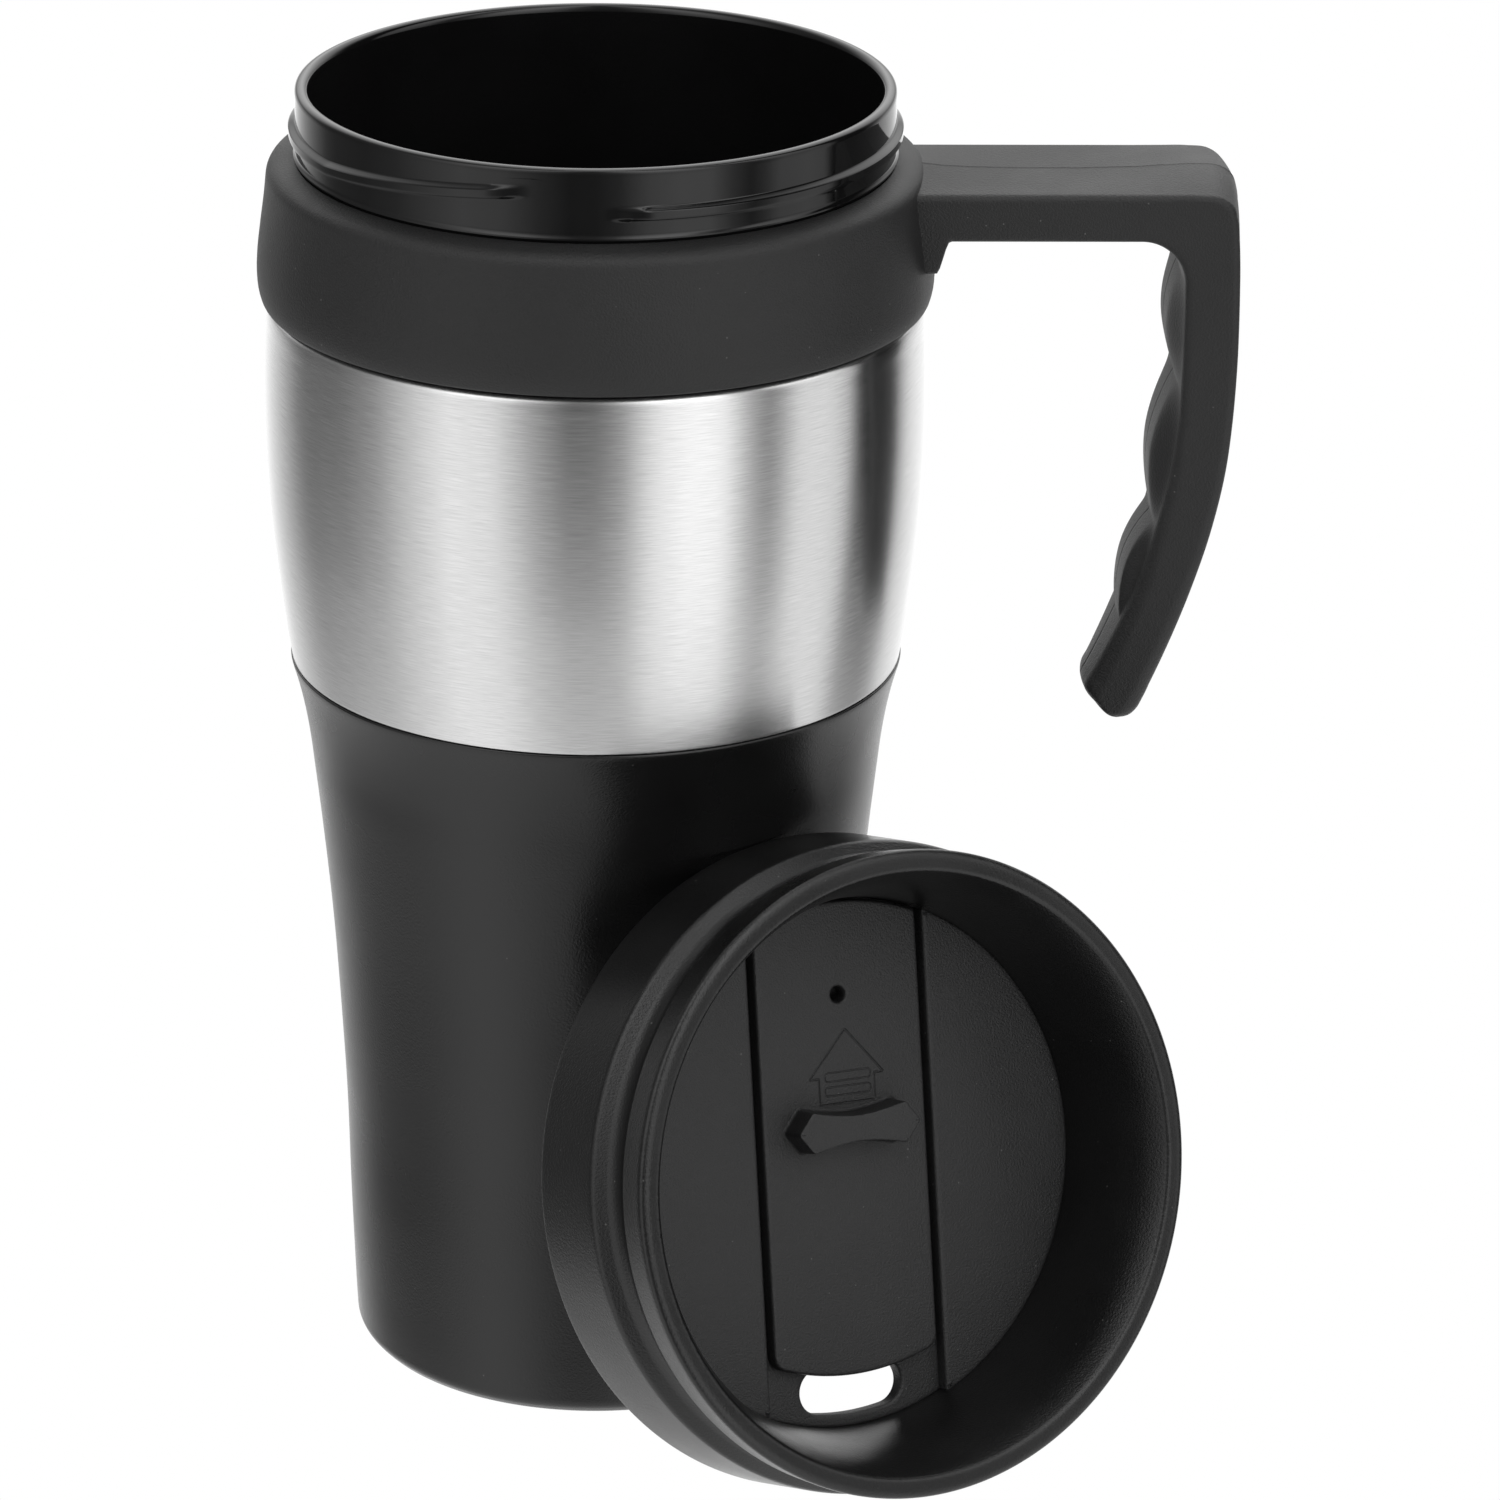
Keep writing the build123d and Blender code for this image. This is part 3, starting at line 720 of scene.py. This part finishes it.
def lid_body():
    """The cap's turned body: skirt, cove, ring, rolled brim, sloping well wall and plug."""
    hem = cornered([(38.75, 0.0), (41.0, 0.0), (40.62, 11.35)], (0.35,))
    shoulder = straight((40.62, 11.35), (39.5, 12.45), 0.3)
    cove = smooth([(39.5, 12.45), (38.85, 13.3), (38.55, 14.4), (38.75, 15.6), (39.5, 16.9)],
                  0.3)
    edge = straight((39.5, 16.9), (39.66, 17.1), 0.1)
    ring = straight((39.66, 17.1), (39.95, 21.0), 0.6)
    brim = smooth([(39.95, 21.0), (39.75, 21.62), (39.2, 21.92), (38.4, 22.0), (37.55, 21.9),
                   (37.1, 21.4)], 0.25)
    well = smooth([(37.1, 21.4), (36.1, 19.4), (34.9, 15.8), (34.0, 11.8), (33.45, 8.4),
                   (deck_r, 5.5)], 0.6)
    low = straight((deck_r, 5.5), (deck_r, 3.5), 0.3)
    plug = cornered([(deck_r, 3.5), (deck_r, 0.8), (34.6, 0.8), (34.6, 10.8), (38.6, 10.8),
                     (38.6, 0.2)], (0.2, 0.35, 0.3, 0.3))
    loop = joined([hem, shoulder, cove, edge, ring, brim, well, low, plug],
                  (0.5, 0.4, 0.12, 0.12, 0.3, 0.3, 0.3, 0))
    return shell(turned(loop))


def drink_slot():
    """Closed outline of a slot bent about the lid's axis: two arcs joined by half circles."""
    cap = slot_half_width
    outer, inner = slot_r + cap, slot_r - cap
    first, last = 270 - slot_half_angle, 270 + slot_half_angle
    ends = [np.array((math.cos(math.radians(a)), math.sin(math.radians(a)))) * slot_r
            for a in (first, last)]
    return np.concatenate((
        arc(outer, first, last)[:-1],
        arc(cap, last, last + 180, 0.4, ends[1])[:-1],
        arc(inner, last, first)[:-1],
        arc(cap, first + 180, first + 360, 0.4, ends[0])[:-1],
    ))


def deck_floor():
    """Disc under the channel with the drink slot and the vent through it, rims rounded."""
    outline = arc(deck_r + 0.15, 0, 360)[:-1]
    vent = arc(vent_r + 0.1, 0, 360, 0.2, (0, vent_s))[:-1]
    levels = [(deck_under, 0.0), (3.35, 0.0), (3.62, 0.08), (3.76, 0.24), (channel_floor, 0.5),
              (channel_floor, 0.8)]
    return slab(outline, levels, (drink_slot(), vent))


def plateau(side):
    """Raised part of the deck beside the channel: a circle's segment with softened edges."""
    limit = math.degrees(math.acos(channel_half / (deck_r + 0.2)))
    curve = arc(deck_r + 0.2, -limit, limit)
    middle = (channel_half, 0)
    halves = (straight(middle, curve[0]), curve, straight(curve[-1], middle))
    outline = joined(halves, (0.5, 0.5))[:-1]
    if side < 0:
        outline = -outline
    levels = [(3.5, 0.0), (5.2, 0.0), (5.42, 0.06), (5.55, 0.2), (deck_top, 0.38), (deck_top, 0.8)]
    return slab(outline, levels)


def slider_outline():
    """Straight sides, a top arc about the lid's axis and a low arc one travel further up."""
    angle = math.degrees(math.asin(slider_half / slider_end_r))
    low_centre = (0, slider_travel)
    left = straight(arc(slider_end_r, 90 + angle, 90 + angle + 1)[0],
                    arc(slider_end_r, 270 - angle, 270, 0.5, low_centre)[0])
    low = arc(slider_end_r, 270 - angle, 270 + angle, 0.5, low_centre)
    right = straight(low[-1], arc(slider_end_r, 90 - angle, 90)[0])
    top_left, top_right = (arc(slider_end_r, a, a + angle) for a in (90, 90 - angle))
    return joined((top_left, left, low, right, top_right), (0.5, 1.5, 1.5, 0.5))[:-1]


arrow = [(0.7, 16.8), (-4.9, 10.9), (-3.5, 10.9), (-3.5, 7.55), (4.7, 7.55), (4.7, 10.9),
         (6.1, 10.9)]
bars = [(-2.6, 10.4, 4.15, 11.5), (-2.65, 8.6, 4.1, 9.7)]


def closed_line(points, radius):
    """Closed outline through the points with every corner rounded, started mid-side."""
    middle = (np.asarray(points[0], float) + points[-1]) / 2
    return cornered([tuple(middle), *points, tuple(middle)], (radius,) * len(points), 0.4)[:-1]


def groove(outline, depth, half_width):
    """Rings of a groove along an outline: from the plate's top down, across and up again."""
    steps = ((0.0, -half_width - 0.06), (0.05, -half_width), (depth, -0.04), (depth, 0.04),
             (0.05, half_width), (0.0, half_width + 0.06))
    return swept(outline, [(deck_top - down, step) for down, step in steps])


def slider_plate():
    """Shutter with rounded edges, the vent, and grooves that outline an arrow and two bars.

    Each groove is a hole in the face round it, a dipped strip and an island that fills the
    middle. The bars lie on the arrow's island.
    """
    vent = arc(vent_r, 0, 360, 0.2, (0, vent_s))[:-1]
    levels = [(channel_floor + 0.2, 0.0), (5.15, 0.0), (5.4, 0.07), (5.54, 0.2), (deck_top, 0.36)]
    walls = [(swept(slider_outline(), levels + [(deck_top, 0.7)]), 1),
             (swept(vent, levels + [(deck_top, 0.5)], -1), -1),
             (groove(closed_line(arrow, 0.15), 0.13, 0.11), 1)]
    for x0, y0, x1, y1 in bars:
        bar = closed_line([(x1, y0), (x1, y1), (x0, y1), (x0, y0)], 0.5)
        walls.append((groove(bar, 0.09, 0.07), 1))
    points, faces, first, last = walled(walls)
    faces += flat_fill(points, first[:2], False)
    faces += flat_fill(points, [*last[:2], first[2]], True)
    faces += flat_fill(points, [last[2], *first[3:]], True)
    for island in last[3:]:
        faces += flat_fill(points, [island], True)
    return points, outward(points, faces)


def thumb_tab():
    """Raised tab with pointed ends and waisted sides, flared a little at its foot."""
    upper = smooth([(6.9, 2.75), (3.4, 2.05), (0, 1.75), (-3.4, 2.05), (-6.9, 2.75)], 0.5)
    left = straight((-6.9, 2.75), (-9.2, 0), 0.5)
    left_low = straight((-9.2, 0), (-6.9, -2.75), 0.5)
    lower = smooth([(-6.9, -2.75), (-3.4, -2.05), (0, -1.75), (3.4, -2.05), (6.9, -2.75)], 0.5)
    right = straight((6.9, -2.75), (9.2, 0), 0.5)
    right_up = straight((9.2, 0), (8.05, 1.375), 0.5)
    close = straight((8.05, 1.375), (6.9, 2.75), 0.5)
    parts = (close, upper, left, left_low, lower, right, right_up)
    outline = joined(parts, (0.5, 0.5, 0.6, 0.5, 0.5, 0.6))[:-1] + (0.15, tab_s - 0.3)
    levels = [(5.3, -0.4), (5.62, -0.36), (5.72, -0.18), (5.95, -0.04), (6.3, 0.0), (8.75, 0.1),
              (8.9, 0.14), (8.98, 0.22), (9.0, 0.36), (9.0, 0.8)]
    return slab(outline, levels)


def slider_leg(side):
    """One leg that reaches from the plate down through the deck to the clip."""
    x0, y0 = side * 5.0, tab_s
    outline = closed_line([(x0 + 1.5, y0 - 2), (x0 + 1.5, y0 + 2), (x0 - 1.5, y0 + 2),
                           (x0 - 1.5, y0 - 2)], 0.4)
    return slab(outline, [(1.85, 0.0), (4.2, 0.0)])


# ------------------------------------------------------------------ pieces

piece("liner_cup", [inner_liner()], gloss_black, "mug", "inner_liner")
piece("steel_sleeve", [steel_band()], steel, "mug", "steel_band")
piece("flared_shell", [lower_shell()], satin_shell, "mug", "lower_shell")
piece("collar_and_handle", [collar(), handle()], soft_touch, "mug", "handle_collar")
piece("lid_cap_body", [placed(s, *on_lid) for s in (
    lid_body(), deck_floor(), plateau(1), plateau(-1))],
    satin_lid, "lid", "lid_cap", second=deck_black, second_from=1)
piece("shutter", [placed(s, *on_lid) for s in (
    slider_plate(), thumb_tab(), slider_leg(1), slider_leg(-1))],
    deck_black, "slider", "slider")

for node, material in (("base_plate", satin_shell), ("lid_gasket", silicone),
                       ("slider_clip", satin_lid)):
    kept = frame["nodes"][node]
    kept.data.materials.clear()
    kept.data.materials.append(material)


# ------------------------------------------------------------------ camera, floor and light

def studio_camera():
    """Long lens 0.9 m from the mug, looking down 21.3 degrees, turned a little off its aim."""
    data = bpy.data.cameras.new("studio_camera")
    data.sensor_width = 36.0
    data.lens = 169.04
    data.clip_start, data.clip_end = 0.05, 60.0
    camera = bpy.data.objects.new("studio_camera", data)
    bpy.context.scene.collection.objects.link(camera)
    place = Vector((0.0, -0.83855, 0.41186))
    aim = (Vector((0.0, 0.0, 0.085)) - place).normalized()
    level = aim.to_track_quat("-Z", "Y").to_matrix()
    nod = Matrix.Rotation(math.radians(-0.332), 3, "X")
    pan = Matrix.Rotation(math.radians(-1.251), 3, "Y")
    camera.matrix_world = Matrix.Translation(place) @ (level @ pan @ nod).to_4x4()
    bpy.context.scene.camera = camera


def pale_floor():
    """Large white floor that only the camera sees, so nothing is lit or shaded by it."""
    mesh = bpy.data.meshes.new("floor")
    reach, level = 12.0, -0.0005
    mesh.from_pydata([(x * reach, y * reach, level) for x, y in (
        (-1, -1), (1, -1), (1, 1), (-1, 1))], [], [(0, 1, 2, 3)])
    floor = bpy.data.objects.new("floor", mesh)
    bpy.context.scene.collection.objects.link(floor)
    material = bpy.data.materials.new("white_floor")
    material.use_nodes = True
    material.node_tree.nodes.clear()
    n = Nodes(material.node_tree)
    glow = n.add("ShaderNodeEmission", inputs={"Color": (1, 1, 1, 1), "Strength": 1.0})
    n.add("ShaderNodeOutputMaterial", inputs={"Surface": glow.outputs[0]})
    mesh.materials.append(material)
    floor.visible_glossy = False
    floor.visible_diffuse = False
    floor.visible_shadow = False


# Softboxes by direction: degrees round from the front towards the handle, and brightness.
side_light = [(-180, 0.70), (-162, 0.55), (-148, 0.44), (-134, 0.34), (-118, 0.17), (-98, 0.18),
              (-82, 0.34), (-66, 0.80), (-52, 1.20), (-36, 1.05), (-22, 0.44), (-10, 0.13),
              (0, 0.15), (9, 0.36), (20, 1.15), (32, 1.48), (44, 1.42), (53, 0.60), (61, 0.20),
              (67, 0.46), (74, 1.02), (88, 1.02), (97, 0.76), (102, 0.0), (119, 0.0),
              (127, 0.22), (138, 0.72), (156, 0.66), (180, 0.70)]
# Share of that brightness by height, in degrees over the horizon.
height_share = [(-90, 1.0), (-20, 1.0), (5, 0.85), (30, 1.4), (55, 2.0), (90, 2.2)]
# The bright table: how far it takes over from the softboxes below the horizon, and its light.
table_share = [(-90, 1.0), (-36, 1.0), (-23.5, 0.0), (90, 0.0)]
table_light, table_mix = 0.80, 0.25
# White backdrop low behind the mug: by direction and by height.
back_light = [(-180, 0.9), (-150, 0.5), (-125, 0.0), (125, 0.0), (150, 0.5), (180, 0.9)]
back_share = [(-90, 0.0), (-35, 0.3), (-15, 1.0), (-4, 1.0), (6, 0.1), (19, 1.5), (45, 1.5),
              (70, 0.5), (90, 0.3)]


def studio_light():
    """World brightness by direction: softboxes, table and backdrop.

    Softboxes are a ramp round the mug times a ramp by height, the table replaces most of their
    contrast low down, and the backdrop adds light behind. The camera sees plain white.
    """
    world = bpy.data.worlds.new("studio")
    bpy.context.scene.world = world
    world.use_nodes = True
    world.node_tree.nodes.clear()
    n = Nodes(world.node_tree)
    way = n.add("ShaderNodeTexCoord").outputs["Generated"]
    axes = n.add("ShaderNodeSeparateXYZ", inputs={"Vector": way})
    turn = n.math("ARCTAN2", axes.outputs["X"], n.math("MULTIPLY", axes.outputs["Y"], -1.0))
    turn = n.math("ADD", n.math("DIVIDE", turn, FULL_TURN), 0.5)
    lift = n.math("ADD", n.math("DIVIDE", n.math("ARCSINE", axes.outputs["Z"]), math.pi), 0.5)

    def graded(share, limit, table):
        """A table's value where share runs from 0 at -limit degrees to 1 at +limit."""
        peak = max(value for _, value in table)
        grey = n.ramp(share, [((a + limit) / (2 * limit), value / peak) for a, value in table])
        return n.math("MULTIPLY", grey, peak)

    boxes = n.math("MULTIPLY", graded(turn, 180, side_light), graded(lift, 90, height_share))
    table = n.math("MULTIPLY_ADD", boxes, table_mix, table_light)
    low = graded(lift, 90, table_share)
    near = n.math("MULTIPLY", boxes, n.math("SUBTRACT", 1.0, low))
    both = n.math("MULTIPLY_ADD", table, low, near)
    back = n.math("MULTIPLY", graded(turn, 180, back_light), graded(lift, 90, back_share))
    seen = n.add("ShaderNodeLightPath").outputs["Is Camera Ray"]
    studio = n.add("ShaderNodeBackground", inputs={
        "Color": n.math("ADD", both, back), "Strength": 1.0})
    plain = n.add("ShaderNodeBackground", inputs={"Color": (1, 1, 1, 1), "Strength": 1.0})
    mixed = n.add("ShaderNodeMixShader", inputs={
        0: seen, 1: studio.outputs[0], 2: plain.outputs[0]})
    n.add("ShaderNodeOutputWorld", inputs={"Surface": mixed.outputs[0]})


studio_camera()
pale_floor()
studio_light()
bpy.context.scene.view_settings.view_transform = "Standard"
